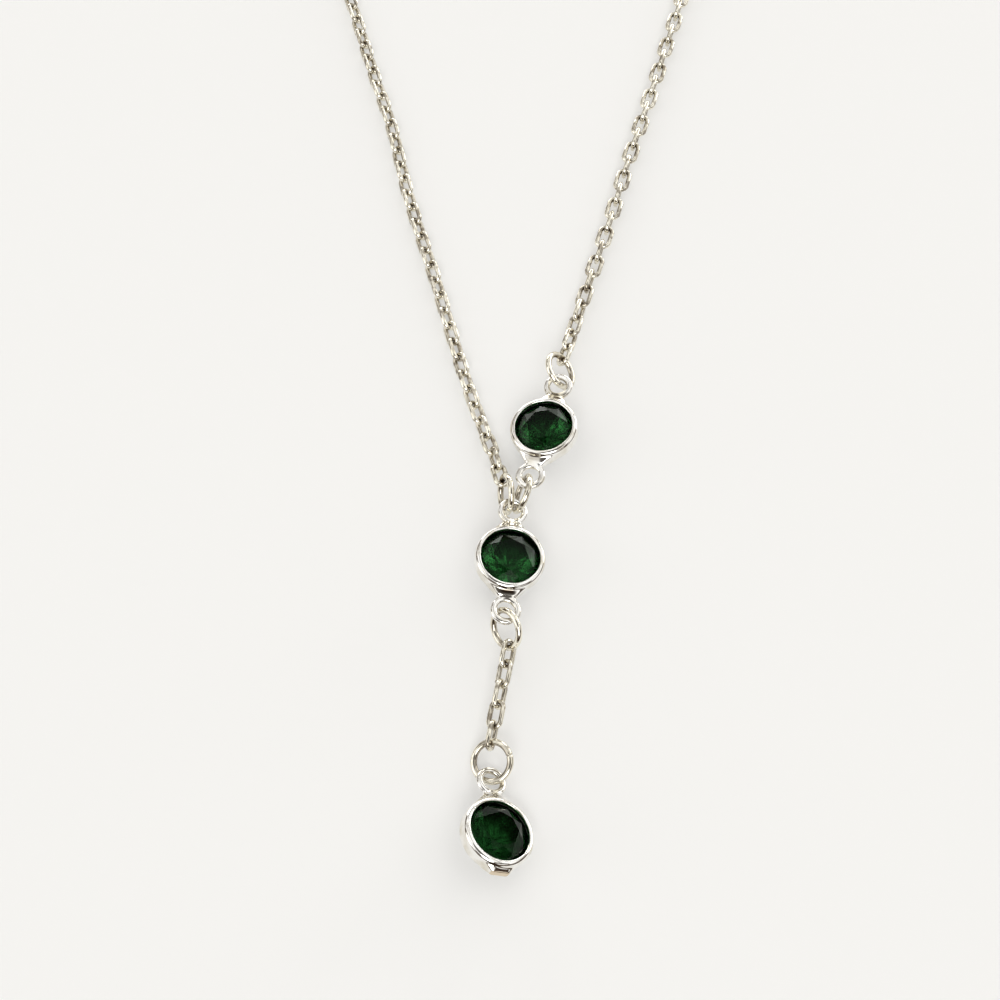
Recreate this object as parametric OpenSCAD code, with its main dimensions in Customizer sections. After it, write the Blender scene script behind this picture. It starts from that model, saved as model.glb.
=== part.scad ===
// Y necklace lying on a flat surface: a closed cable chain with three round stone settings.
// The pieces are laid out from the middle setting, and the whole is centred at the end.

/* [Loop] */
// Length of the closed loop from the meeting point round the clasp
loop_l = 406; // [380:2:450]
// Angle of each arm from the centre line where the Y opens
arm_angle = 16.4; // [12:0.2:22]

/* [Chain] */
// Distance from one link to the next
link_pitch = 1.84; // [1.7:0.02:2.2]
// Width of a link across its outside
link_w = 1.62; // [1.5:0.02:2]
// Wire of a link
link_wire = 0.41; // [0.3:0.01:0.42]
// Slack between the wires of two links
link_gap = 0.12; // [0.11:0.01:0.2]
// Number of links in the drop
drop_links = 5; // [3:1:9]

/* [Jump rings] */
// Outer diameter of a jump ring
ring_d = 3.95; // [3.6:0.05:4.4]
// Wire of a jump ring
ring_wire = 0.55; // [0.45:0.01:0.6]

/* [Setting] */
// Outer diameter of a setting
setting_d = 6.4; // [6.2:0.05:7.5]
// Height of a setting's band
setting_h = 1.9; // [1.7:0.05:2.4]
// Rounding of the band below
base_round = 0.8; // [0.4:0.05:0.85]
// Share of the lip's width that its outer rounding takes
lip_share = 0.8; // [0.5:0.05:0.9]
// How far the lip reaches over the edge of the stone
lip_cover = 0.12; // [0.08:0.01:0.25]
// Wire of the flat eyes
eye_wire = 0.58; // [0.45:0.01:0.6]
// Distance from the centre of a stone to the centre of an eye
eye_reach = 5; // [4.8:0.05:6]
// Width of the neck where it meets the eye
neck_w = 1.5; // [1.2:0.05:1.8]
// Thickness of the neck where it meets the eye
neck_h = 0.6; // [0.5:0.05:1]
// Thickness of the neck where it leaves the band
neck_root_h = 1.2; // [1:0.05:1.4]

/* [Stone] */
// Diameter of the stone at its girdle
stone_d = 5.6; // [5:0.05:5.9]
// Thickness of the girdle
girdle_h = 0.14; // [0.08:0.01:0.3]
// Height of the crown above the girdle
crown_h = 0.85; // [0.6:0.05:1.2]
// Depth of the pointed back below the girdle
point_h = 3; // [2.7:0.05:3.4]
// Diameter of the flat table, corner to corner
table_d = 3.1; // [2.4:0.05:3.8]
// Clearance between the stone and its setting
stone_gap = 0.07; // [0.05:0.01:0.12]
// Height of the girdle above the middle of the band
girdle_lift = 0.3; // [0.2:0.02:0.4]

/* [Clasp] */
// Outer diameter of the clasp
clasp_d = 5.5; // [5:0.1:7]
// Wire of the clasp
clasp_wire = 1; // [0.8:0.05:1.2]
// Wire of the clasp's eye
clasp_eye_wire = 0.45; // [0.35:0.01:0.55]

/* [Hidden] */
$fn = 48;

// Shares of the stone's cut: facets round the crown, and where their inner corners lie
cut_sides = 8;
star_share = 0.55;
lower_share = 0.24;

// Free play that a piece keeps round the wire it hooks on
play = 0.125;
// Room between two rings that hang side by side in one eye
pair_gap = 0.15;

// Derived sizes of wires, links and rings
link_r = link_w / 2 - link_wire / 2;
link_l = link_pitch + 2 * link_wire + link_gap;
link_straight = link_l - link_w;
ring_r = (ring_d - ring_wire) / 2;
hook_reach = link_l / 2 - link_wire - ring_wire / 2 - play;

// Derived sizes of a setting: the hole of an eye takes two jump rings side by side
band_r = setting_d / 2;
seat_r = stone_d / 2 + stone_gap;
lip_r = stone_d / 2 - lip_cover;
lip_round = (band_r - lip_r) * lip_share;
lip_inner_round = band_r - lip_r - lip_round;
eye_hole = 2 * ring_wire + 4 * play;
eye_r = (eye_hole + eye_wire) / 2;
hook_side = (ring_wire + pair_gap) / 2;
tip_drop = point_h - girdle_lift;

// Derived sizes of the neck: its sides run from the eye to the band's wall as tangents
wall_r = (band_r + seat_r) / 2;
root_r = (band_r + wall_r) / 2;
neck_x = eye_reach - eye_r;
root_angle = atan2(neck_w / 2, neck_x) + acos(root_r / norm([neck_x, neck_w / 2]));
root_at = root_r * [cos(root_angle), sin(root_angle)];

// Derived sizes of the clasp
clasp_r = (clasp_d - clasp_wire) / 2;
clasp_eye_hole = 1.32;
clasp_eye_sink = 0.11;
clasp_eye_r = (clasp_eye_hole + clasp_eye_wire) / 2;
clasp_eye_x = clasp_d / 2 + clasp_eye_r - clasp_eye_sink;

// A turn is [roll about its own length, rise of its far end, heading in plan].
// The middle setting, where the Y meets, and the way that each piece leans
middle_at = [0.87, -7.06];
middle_turn = [7, -6, 86];
upper_turn = [-10, -3, 74];
lower_turn = [26, -17, 95];
ring_left_turn = [105, -4, 100];
ring_right_roll = 110;
ring_right_heading = 72;
ring_upper_turn = [45, -12, 84];
ring_middle_turn = [54, -27, 280];
ring_lower_turn = [22, -8, 274];
drop_heading = 259;
clasp_roll = -30;
clasp_play = 0.165;
// How far round the arc an arm's last point stays from its ring, as an angle
arc_margin = 3;

// Where a chain leaves its ring, as an angle round the ring
ring_left_exit = -12;
ring_upper_exit = -8;
clasp_ring_exit = 198;
end_ring_exit = -18;

// Where a ring's wire goes through an eye, as [along the setting, to its left]
upper_low_hook = [-0.1, 0.22];
upper_top_hook = [0.28, 0];
middle_top_hook = [0.1, 0];
middle_low_hook = [0, 0.22];
lower_hook = [0.04, -0.18];

// Rolls of the two arms' links, and the stretch at each end where they twist and rise
left_roll = 45;
right_roll = 0;
twist_links = 6;
ramp_l = 9;

// Chosen points that each arm passes, going up from the Y
left_points = [[-0.9, 5.1], [-3.3, 12.4], [-6.4, 23.6], [-9.3, 33.5], [-11.4, 42.6],
    [-13.5, 49.5], [-16.5, 60.1]];
right_points = [[8, 20.4], [11.3, 30.9], [13.4, 38.2], [15.6, 45.2], [20.1, 60.1]];
// Where the two arms would meet if they ran on straight
meet_at = [1.65, -2.5];

// The back of the loop is one arc that both arms run into
meet_to_arc = loop_l / (2 * cos(arm_angle) + sin(arm_angle) * (180 + 2 * arm_angle) * PI / 180);
arc_r = meet_to_arc * sin(arm_angle);
arc_at = meet_at + [0, meet_to_arc];
arc_step = 8;
straight_step = 8;

// Vectors turned by a roll, a rise and a heading, in that order
function about_x(v, a) = [v[0], v[1] * cos(a) - v[2] * sin(a), v[1] * sin(a) + v[2] * cos(a)];
function about_y(v, a) = [v[0] * cos(a) + v[2] * sin(a), v[1], v[2] * cos(a) - v[0] * sin(a)];
function about_z(v, a) = [v[0] * cos(a) - v[1] * sin(a), v[0] * sin(a) + v[1] * cos(a), v[2]];
function turned(v, t) = about_z(about_y(about_x(v, t[0]), -t[1]), t[2]);
function flat(v) = [v[0], v[1]];
function heading_of(v) = atan2(v[1], v[0]);
function rise_of(v) = asin(v[2] / norm(v));

// A pose is [place, turn]
module put(pose)
    translate(pose[0])
        rotate([pose[1][0], -pose[1][1], pose[1][2]])
            children();

// A setting stands on the point of its stone, at the height that its lean gives
function stand_h(t) = tip_drop * turned([0, 0, 1], t)[2];
// The place of a hook in the eye at one end of a setting: end is 1 at its top and -1 below
function hook_of(pose, end, hook) = pose[0] + turned([end * eye_reach + hook[0], hook[1], 0], pose[1]);
// The pose of a setting whose hook is over a known point in plan
function setting_at(p, end, hook, t) =
    let (v = turned([end * eye_reach + hook[0], hook[1], 0], t))
    [[p[0] - v[0], p[1] - v[1], stand_h(t)], t];
// The pose of a jump ring that starts at a hook, and a point on the middle of its wire
function ring_from(p, t) = [p + turned([ring_r, 0, 0], t), t];
function ring_out(pose, exit) = pose[0] + turned([ring_r * cos(exit), ring_r * sin(exit), 0], pose[1]);
// The way that the wire runs there
function ring_way(pose, exit) = turned([-sin(exit), cos(exit), 0], pose[1]);

// Settings and the rings between them, from the middle one outwards
middle_pose = [[middle_at[0], middle_at[1], stand_h(middle_turn)], middle_turn];
ring_left_pose = ring_from(
    hook_of(middle_pose, 1, middle_top_hook + [0, hook_side]), ring_left_turn);
right_hook = hook_of(middle_pose, 1, middle_top_hook - [0, hook_side]);
upper_hook = turned([upper_low_hook[0] - eye_reach, upper_low_hook[1], 0], upper_turn);
upper_hook_h = stand_h(upper_turn) + upper_hook[2];
ring_right_rise = asin((upper_hook_h - right_hook[2]) / (2 * ring_r));
ring_right_pose = ring_from(right_hook, [ring_right_roll, ring_right_rise, ring_right_heading]);
upper_pose = setting_at(ring_out(ring_right_pose, 0), -1, upper_low_hook, upper_turn);
ring_upper_pose = ring_from(hook_of(upper_pose, 1, upper_top_hook), ring_upper_turn);

// The drop: a ring, its links in a line, a ring, and the lower setting
ring_middle_pose = ring_from(hook_of(middle_pose, -1, middle_low_hook), ring_middle_turn);
drop_from = ring_out(ring_middle_pose, 0);
drop_l = 2 * hook_reach + (drop_links - 1) * link_pitch;
lower_hook_at = turned([eye_reach + lower_hook[0], lower_hook[1], 0], lower_turn);
lower_hook_h = stand_h(lower_turn) + lower_hook_at[2];
drop_fall = lower_hook_h - 2 * ring_r * sin(ring_lower_turn[1]) - drop_from[2];
drop_rise = asin(drop_fall / drop_l);
drop_to = drop_from + turned([drop_l, 0, 0], [0, drop_rise, drop_heading]);
ring_lower_pose = ring_from(drop_to, ring_lower_turn);
lower_pose = setting_at(ring_out(ring_lower_pose, 0), 1, lower_hook, lower_turn);

// The clasp lies across the top of the arc, with a ring at each end
clasp_h = ring_r * cos(clasp_roll) + ring_wire / 2;
clasp_ring_x = -clasp_eye_x - ring_r;
end_ring_x = clasp_r + ring_r - (clasp_wire + ring_wire) / 2 - clasp_play;
clasp_x = -(clasp_ring_x + end_ring_x) / 2;
clasp_at = [arc_at[0] + clasp_x, arc_at[1] + arc_r, clasp_h];
clasp_pose = [clasp_at, [clasp_roll, 0, 0]];
clasp_ring_pose = [clasp_at + [clasp_ring_x, 0, 0], [90 + clasp_roll, 0, 0]];
end_ring_pose = [clasp_at + [end_ring_x, 0, 0], [90 + clasp_roll, 0, 0]];
arc_open = asin((end_ring_x - clasp_ring_x + 2 * ring_r) / 2 / arc_r) + arc_margin;

// Each arm in plan, from its first ring to the clasp
function arc_points(from, to) =
    let (n = ceil(abs(to - from) / arc_step))
    [for (i = [0:n]) let (a = from + (to - from) * i / n) arc_at + arc_r * [cos(a), sin(a)]];
// Points between two others, leaving out both
function straight_points(from, to) =
    let (n = round(norm(to - from) / straight_step))
    [for (i = [1:n - 1]) from + (to - from) * i / n];
left_from = ring_out(ring_left_pose, ring_left_exit);
left_to = ring_out(clasp_ring_pose, clasp_ring_exit);
right_from = ring_out(ring_upper_pose, ring_upper_exit);
right_to = ring_out(end_ring_pose, end_ring_exit);
left_arc = arc_points(180 + arm_angle, 90 + arc_open);
right_arc = arc_points(-arm_angle, 90 - arc_open);
left_route = concat([flat(left_from)], left_points,
    straight_points(left_points[len(left_points) - 1], left_arc[0]), left_arc, [flat(left_to)]);
right_route = concat([flat(right_from)], right_points,
    straight_points(right_points[len(right_points) - 1], right_arc[0]), right_arc, [flat(right_to)]);

// A smooth line through a list of points, its length so far at each, and the place at a length
spline_steps = 8;
function between(a, b, c, d, t) =
    0.5 * (2 * b + (c - a) * t + (2 * a - 5 * b + 4 * c - d) * t * t
        + (3 * b - a - 3 * c + d) * t * t * t);
function smooth(p) = concat(
    [for (i = [0:len(p) - 2]) for (j = [0:spline_steps - 1])
        between(p[max(i - 1, 0)], p[i], p[i + 1], p[min(i + 2, len(p) - 1)], j / spline_steps)],
    [p[len(p) - 1]]);
function lengths(p) =
    [for (i = 0, s = 0; i < len(p); s = s + (i < len(p) - 1 ? norm(p[i + 1] - p[i]) : 0), i = i + 1) s];
function track(p) =
    let (s = lengths(p), last = len(p) - 1)
    [[for (i = [0:last]) [s[i], p[i][0]]], [for (i = [0:last]) [s[i], p[i][1]]], s[last]];
left_track = track(smooth(left_route));
right_track = track(smooth(right_route));

// The height of a link's middle when it lies with this roll
function rest_h(roll) = link_r * max(abs(sin(roll)), abs(cos(roll))) + link_wire / 2;
function near_end(s) = pow(max(0, 1 - s / ramp_l), 2);
function on_floor(s) = 1 - near_end(s);
// The middle of the chain at a length along its track
function chain_at(t, s, h0, h1, rest) = [
    lookup(s, t[0]),
    lookup(s, t[1]),
    rest + (h0 - rest) * near_end(s) + (h1 - rest) * near_end(t[2] - s)];
// The roll that lays a link square across a wire which runs that way
function cross_roll(way, rise, heading) =
    let (v = about_y(about_z(way, -heading), rise))
    atan2(-v[1], v[2]);
// The same turn taken the short way, as a link looks alike after half a turn
function short_way(a) = a - 180 * round(a / 180);
function fade(k) = max(0, 1 - k / twist_links);

// The poses of an arm's links: two in a row stand square to each other, each on the surface
function arm_poses(t, h0, h1, way0, way1, roll) =
    let (
        n = 1 + ceil((t[2] - 2 * hook_reach) / link_pitch),
        step = (t[2] - 2 * hook_reach) / (n - 1),
        rest = rest_h(roll),
        s = [for (k = [0:n - 1]) hook_reach + k * step],
        back = [for (k = [0:n - 1]) chain_at(t, s[k] - hook_reach, h0, h1, rest)],
        front = [for (k = [0:n - 1]) chain_at(t, s[k] + hook_reach, h0, h1, rest)],
        run = front - back,
        start = short_way(cross_roll(way0, rise_of(run[0]), heading_of(run[0])) - roll),
        finish = short_way(
            cross_roll(way1, rise_of(run[n - 1]), heading_of(run[n - 1])) - roll - 90 * (n - 1)),
        rolls = [for (k = [0:n - 1]) roll + 90 * k + start * fade(k) + finish * fade(n - 1 - k)],
        lift = [for (k = [0:n - 1]) (rest_h(rolls[k]) - rest) * on_floor(s[k]) * on_floor(t[2] - s[k])]
    )
    [for (k = [0:n - 1]) [
        (back[k] + front[k]) / 2 + [0, 0, lift[k]],
        [rolls[k], rise_of(run[k]), heading_of(run[k])]]];

left_poses = arm_poses(left_track, left_from[2], left_to[2],
    ring_way(ring_left_pose, ring_left_exit), ring_way(clasp_ring_pose, clasp_ring_exit), left_roll);
right_poses = arm_poses(right_track, right_from[2], right_to[2],
    ring_way(ring_upper_pose, ring_upper_exit), ring_way(end_ring_pose, end_ring_exit), right_roll);

// The drop's links turn evenly from one ring's wire to the other's
drop_first = cross_roll(ring_way(ring_middle_pose, 0), drop_rise, drop_heading);
drop_last = cross_roll(ring_way(ring_lower_pose, 180), drop_rise, drop_heading);
drop_twist = short_way(drop_last - drop_first - 90 * (drop_links - 1)) / (drop_links - 1);
function drop_pose(i) = [
    drop_from + turned([hook_reach + i * link_pitch, 0, 0], [0, drop_rise, drop_heading]),
    [drop_first + (90 + drop_twist) * i, drop_rise, drop_heading]];

// The whole necklace is centred on its own outline in plan
low_end = lower_pose[0] + turned([-neck_x, 0, 0], lower_turn);
top_edge = clasp_at[1] + clasp_d / 2 * cos(clasp_roll);
centre = [arc_at[0], (top_edge + low_end[1]) / 2, 0];

silver = "#d9d9d6";
green = "#0d3b22";

// A ring of round wire
module wire_ring(r, wire)
    rotate_extrude()
        translate([r, 0])
            circle(d = wire);

// Half of that ring, on the side of +X
module half_ring(r, wire)
    rotate([0, 0, -90])
        rotate_extrude(angle = 180)
            translate([r, 0])
                circle(d = wire);

// One oval link of the chain, long in X
module link() {
    for (side = [0, 180])
        rotate([0, 0, side])
            translate([link_straight / 2, 0, 0])
                half_ring(link_r, link_wire);
    for (y = [-link_r, link_r])
        translate([-link_straight / 2, y, 0])
            rotate([0, 90, 0])
                cylinder(d = link_wire, h = link_straight);
}

// A quarter of a rounded corner, as points from one angle to another
corner_steps = 6;
function corner(at, r, from, to) =
    [for (i = [0:corner_steps])
        let (a = from + (to - from) * i / corner_steps)
        at + r * [cos(a), sin(a)]];

// The section of a setting's band: a wall with a seat for the stone and a rounded lip over it
module band_section() {
    top = setting_h / 2;
    seat_h = girdle_lift + girdle_h / 2 + stone_gap;
    slope = point_h / (stone_d / 2);
    ledge_h = girdle_lift - girdle_h / 2 - stone_gap;
    low_r = seat_r - (ledge_h + top) / slope;
    polygon(concat(
        [[low_r, -top]],
        corner([band_r - base_round, base_round - top], base_round, -90, 0),
        corner([band_r - lip_round, top - lip_round], lip_round, 0, 90),
        corner([lip_r + lip_inner_round, top - lip_inner_round], lip_inner_round, 90, 180),
        [[lip_r, seat_h + seat_r - lip_r], [seat_r, seat_h], [seat_r, ledge_h]]));
}

// A four-sided outline that is alike above and below, from one [length, half width] to another
module taper(from, to)
    polygon([[from[0], -from[1]], [to[0], -to[1]], to, from]);

// The neck from the band to an eye on the side of +X, narrowed in plan and from the side
module neck()
    difference() {
        intersection() {
            linear_extrude(neck_root_h, center = true)
                taper(root_at, [neck_x, neck_w / 2]);
            rotate([90, 0, 0])
                linear_extrude(setting_d, center = true)
                    taper([root_at[0], neck_root_h / 2], [neck_x, neck_h / 2]);
        }
        cylinder(r = wall_r, h = setting_h, center = true);
    }

// A whole setting: a neck at both ends, the lowest one's lower neck snipped short of its eye
module setting_body(eyes)
    union() {
        rotate_extrude()
            band_section();
        for (end = [0, 1])
            rotate([0, 0, 180 * end]) {
                neck();
                if (end < eyes)
                    translate([eye_reach, 0, 0])
                        wire_ring(eye_r, eye_wire);
            }
    }

module setting(pose, eyes)
    color(silver)
        centred()
            put(pose)
                setting_body(eyes);

// A round cut stone with a table, stars, kites and girdle facets above, and a pointed back
function on_circle(r, a, z) = [r * cos(a), r * sin(a), z];
module cut_stone() {
    n = cut_sides;
    half = 180 / n;
    rg = stone_d / 2;
    rt = table_d / 2;
    rs = rt + (rg - rt) * star_share;
    rl = rg * lower_share;
    g = girdle_h / 2;
    top = g + crown_h;
    tip = -point_h;
    star_z = top - crown_h * (rs * cos(half) - rt) / (rg - rt);
    lower_z = tip + (point_h - g) * rl * cos(half) / rg;
    points = concat(
        [for (k = [0:n - 1]) on_circle(rt, 2 * half * k, top)],
        [for (k = [0:n - 1]) on_circle(rs, 2 * half * k + half, star_z)],
        [for (k = [0:2 * n - 1]) on_circle(rg, half * k, g)],
        [for (k = [0:2 * n - 1]) on_circle(rg, half * k, -g)],
        [for (k = [0:n - 1]) on_circle(rl, 2 * half * k + half, lower_z)],
        [[0, 0, tip]]);
    star = n;
    upper = 2 * n;
    lower = 4 * n;
    deep = 6 * n;
    culet = 7 * n;
    faces = concat(
        [[for (k = [n - 1:-1:0]) k]],
        [for (k = [0:n - 1]) [k, (k + 1) % n, star + k]],
        [for (k = [0:n - 1]) [k, star + k, upper + 2 * k, star + (k + n - 1) % n]],
        [for (k = [0:n - 1]) [star + k, upper + 2 * k + 1, upper + 2 * k]],
        [for (k = [0:n - 1]) [star + k, upper + (2 * k + 2) % (2 * n), upper + 2 * k + 1]],
        [for (k = [0:2 * n - 1])
            [upper + k, upper + (k + 1) % (2 * n), lower + (k + 1) % (2 * n), lower + k]],
        [for (k = [0:n - 1]) [deep + k, lower + 2 * k, lower + 2 * k + 1]],
        [for (k = [0:n - 1]) [deep + k, lower + 2 * k + 1, lower + (2 * k + 2) % (2 * n)]],
        [for (k = [0:n - 1]) [culet, deep + (k + n - 1) % n, lower + 2 * k, deep + k]]);
    polyhedron(points = points, faces = faces);
}

module stone(pose)
    color(green)
        centred()
            put(pose)
                translate([0, 0, girdle_lift])
                    cut_stone();

// Every piece is drawn in its own place, with the whole centred
module centred()
    translate(-centre)
        children();

module jump_ring(pose)
    color(silver)
        centred()
            put(pose)
                wire_ring(ring_r, ring_wire);

module chain(poses)
    color(silver)
        centred()
            for (pose = poses)
                put(pose)
                    link();

module ring_left() jump_ring(ring_left_pose);
module ring_right() jump_ring(ring_right_pose);
module ring_upper_top() jump_ring(ring_upper_pose);
module ring_middle_bottom() jump_ring(ring_middle_pose);
module ring_lower() jump_ring(ring_lower_pose);
module clasp_ring() jump_ring(clasp_ring_pose);
module end_ring() jump_ring(end_ring_pose);
module chain_left() chain(left_poses);
module chain_right() chain(right_poses);
module drop_link(i) chain([drop_pose(i - 1)]);

module setting_upper() setting(upper_pose, 2);
module setting_middle() setting(middle_pose, 2);
module setting_lower() setting(lower_pose, 1);
module stone_upper() stone(upper_pose);
module stone_middle() stone(middle_pose);
module stone_lower() stone(lower_pose);

// A plain closed ring with a small eye on the side of -X
module clasp()
    color(silver)
        centred()
            put(clasp_pose)
                union() {
                    wire_ring(clasp_r, clasp_wire);
                    translate([-clasp_eye_x, 0, 0])
                        wire_ring(clasp_eye_r, clasp_eye_wire);
                }

setting_upper();
stone_upper();
setting_middle();
stone_middle();
setting_lower();
stone_lower();
ring_left();
ring_right();
ring_upper_top();
ring_middle_bottom();
ring_lower();
chain_left();
chain_right();
clasp();
clasp_ring();
end_ring();
for (i = [1:drop_links])
    drop_link(i);
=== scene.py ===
import math

import bmesh
import bpy
import numpy as np
from bpy.props import FloatProperty, FloatVectorProperty, IntProperty, PointerProperty
from mathutils import Matrix, Vector


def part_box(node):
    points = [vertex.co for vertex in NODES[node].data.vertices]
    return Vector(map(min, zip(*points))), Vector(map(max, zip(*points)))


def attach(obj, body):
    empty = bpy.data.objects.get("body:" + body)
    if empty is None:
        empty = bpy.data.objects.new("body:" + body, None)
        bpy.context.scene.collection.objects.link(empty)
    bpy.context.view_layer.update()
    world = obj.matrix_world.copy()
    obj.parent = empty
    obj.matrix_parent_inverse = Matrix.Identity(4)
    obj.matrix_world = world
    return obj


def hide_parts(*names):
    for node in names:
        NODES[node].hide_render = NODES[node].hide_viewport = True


bl_info = {
    "name": "Y Necklace",
    "version": (1, 0, 0),
    "blender": (4, 5, 0),
    "location": "3D View > Sidebar > Necklace",
    "description": "Chain, jump rings, rounded settings and cut stones of a Y necklace that lies flat",
    "category": "Add Mesh",
}

# The fixed frame, with each piece's place and size
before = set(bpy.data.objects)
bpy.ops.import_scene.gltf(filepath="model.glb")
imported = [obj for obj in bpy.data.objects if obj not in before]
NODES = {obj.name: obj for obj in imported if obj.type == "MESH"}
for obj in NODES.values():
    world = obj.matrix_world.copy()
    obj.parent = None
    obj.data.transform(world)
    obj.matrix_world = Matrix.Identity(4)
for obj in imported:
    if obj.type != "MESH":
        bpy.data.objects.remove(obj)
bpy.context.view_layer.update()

MM = 0.001
# Corners nearer than this are one corner, and heights and radii nearer than LEVEL are level
WELD = 1e-6
LEVEL = 0.01 * MM

SETTINGS = ("upper", "middle", "lower")
CHAINS = ("chain_left", "chain_right")
DROP_LINKS = sorted(name for name in NODES if name.startswith("drop_link_"))
CHAIN_METAL = "chain_metal"
SETTING_METAL = "setting_metal"
STONE = "stone"

# Where the cut in each jump ring shows, as a direction in plan from the ring's middle
RING_CUTS = {
    "ring_left": (-0.2, -1.0),
    "ring_right": (1.0, 0.3),
    "ring_upper_top": (1.0, -0.65),
    "ring_middle_bottom": (-0.1, 1.0),
    "ring_lower": (1.0, 0.25),
    "clasp_ring": (0.0, 1.0),
    "end_ring": (0.0, -1.0),
}

# The ends of each setting that have an eye, +1 for the side of +X
EYE_ENDS = {"upper": (1, -1), "middle": (1, -1), "lower": (1,)}

# The painted shade in the crease of each neck, a dark reflection painted on its upper side, as a share,
# first on the side of +X
CREASE_SHADES = {"upper": (0.0, 0.4), "middle": (0.4, 1.0), "lower": (0.5, 0.0)}

# Steps of the arc at a neck's root, and width of the soft edge of a shaded or snipped place
NECK_STEPS = 6
MARK_EDGE = 0.08 * MM

# Patterns of the finishes: the size of the lumps, and the values between which they blend
CLOUDS = (1.7 * MM, 0.46, 0.76)
SPOTS = (0.8 * MM, 0.54, 0.64)
SHEEN = (0.6 * MM, 0.3, 0.7)
RIPPLE_SIZE = 0.35 * MM
GLASS_TINT = (2.5 * MM, 0.35, 0.65)
FOIL_PATCHES = (1.4 * MM, 0.35, 0.7)
FOIL_SHEEN = (0.8 * MM, 0.3, 0.7)

# The room that lights the piece: colours of its foot, its top and the dark things in it, the heights
# between which foot gives way to top and things fade, and the size and edge of the things
ROOM_FOOT = (0.16, 0.125, 0.09)
ROOM_TOP = (1.18, 1.17, 1.15)
ROOM_DARK = (0.10, 0.075, 0.055)
FOOT_EDGE = (0.22, 0.48)
DARK_EDGE = (0.6, 0.85)
THINGS_SCALE = 3.2
THINGS_EDGE = (0.52, 0.56)

# Patches in the room, each a direction from the middle, the angles from it in degrees where the patch
# is full and where it ends, and its colour
ROOM_PATCHES = (
    ((0.82, 0.57, 0.05), 12, 18, (4.0, 4.0, 3.9)),
    ((0.34, 0.94, 0.05), 12, 18, (4.0, 4.0, 3.9)),
    ((-0.30, 0.95, 0.05), 12, 18, (4.0, 4.0, 3.9)),
    ((0.0, 0.45, 0.90), 8, 14, (0.60, 0.59, 0.57)),
    ((-1.0, -0.1, 0.35), 14, 19, (1.9, 1.88, 1.84)),
    ((-0.7, -0.9, 0.65), 9, 13, (0.06, 0.04, 0.03)),
    ((0.9, -0.5, 0.75), 9, 13, (0.06, 0.04, 0.03)),
    ((0.0, -1.0, 0.30), 16, 24, (0.04, 0.026, 0.018)),
    ((0.0, -0.16, 0.98), 18, 25, (0.12, 0.11, 0.10)),
    ((0.0, -0.68, 0.73), 15, 20, (4.3, 4.3, 4.2)),
)


# Reading sizes and places from the frame

def solids_of(node):
    """The corner points of each separate solid of a CAD node, which comes as loose triangles."""
    mesh = NODES[node].data
    points = np.empty(3 * len(mesh.vertices))
    mesh.vertices.foreach_get("co", points)
    rounded = np.round(points.reshape(-1, 3) / WELD).astype(np.int64)
    corners, corner_of = np.unique(rounded, axis=0, return_inverse=True)
    triangles = np.empty(3 * len(mesh.polygons), int)
    mesh.polygons.foreach_get("vertices", triangles)
    triangles = corner_of.reshape(-1)[triangles].reshape(-1, 3)
    solid = np.arange(len(corners))
    while True:
        lowest = solid[triangles].min(axis=1)
        joined = solid.copy()
        for side in range(3):
            np.minimum.at(joined, triangles[:, side], lowest)
        joined = joined[joined]
        if np.array_equal(joined, solid):
            break
        solid = joined
    return [corners[solid == first] * WELD for first in np.unique(solid)]


def pose_from(middle, along, through):
    """A pose with its X along one direction and its Z as near as it can be to another."""
    x = Vector(along).normalized()
    z = (Vector(through) - Vector(through).dot(x) * x).normalized()
    pose = Matrix((x, z.cross(x), z)).transposed().to_4x4()
    pose.translation = Vector(middle)
    return pose


def facing(direction, way):
    """A direction, turned round if that points it the asked way."""
    return Vector(direction) if Vector(direction).dot(way) > 0 else -Vector(direction)


def lie_of(points):
    """The pose of a solid: its middle, with X along its length and Z through its thickness."""
    middle = points.mean(axis=0)
    _, axes = np.linalg.eigh(np.cov((points - middle).T))
    return pose_from(middle, facing(axes[:, 2], (0, 1, 0)), facing(axes[:, 0], (0, 0, 1)))


def in_pose(points, pose):
    """Points as seen from a pose."""
    turned_back = np.array(pose.inverted())
    return points @ turned_back[:3, :3].T + turned_back[:3, 3]


def extent(points):
    """The size of a cloud of points along each axis."""
    return points.max(axis=0) - points.min(axis=0)


def stone_pose(which):
    """The pose of a stone, in its middle, with Z up through the table and X along its setting."""
    points = solids_of(f"stone_{which}")[0]
    middle = points.mean(axis=0)
    spreads, axes = np.linalg.eigh(np.cov((points - middle).T))
    odd = 0 if spreads[1] - spreads[0] > spreads[2] - spreads[1] else 2
    along = lie_of(solids_of(f"setting_{which}")[0]).to_3x3().col[0]
    up = facing(axes[:, odd], (0, 0, 1))
    return pose_from(middle, along - along.dot(up) * up, up)


STONE_POSES = {which: stone_pose(which) for which in SETTINGS}
LINK = solids_of(DROP_LINKS[0])[0]
LINK_SIZE = extent(in_pose(LINK, lie_of(LINK)))
RING = solids_of("ring_left")[0]
RING_SIZE = extent(in_pose(RING, lie_of(RING)))
CLASP = solids_of("clasp")[0]
CLASP_LIE = lie_of(CLASP)
CLASP_SIZE = extent(in_pose(CLASP, CLASP_LIE))
BAND = in_pose(solids_of("setting_middle")[0], STONE_POSES["middle"])
CUT = in_pose(solids_of("stone_middle")[0], STONE_POSES["middle"])
CUT_RADII = np.hypot(CUT[:, 0], CUT[:, 1])
GIRDLE = CUT[CUT_RADII > CUT_RADII.max() - LEVEL]
TABLE = CUT[CUT[:, 2] > CUT[:, 2].max() - LEVEL]


# Sizes and finishes

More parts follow.
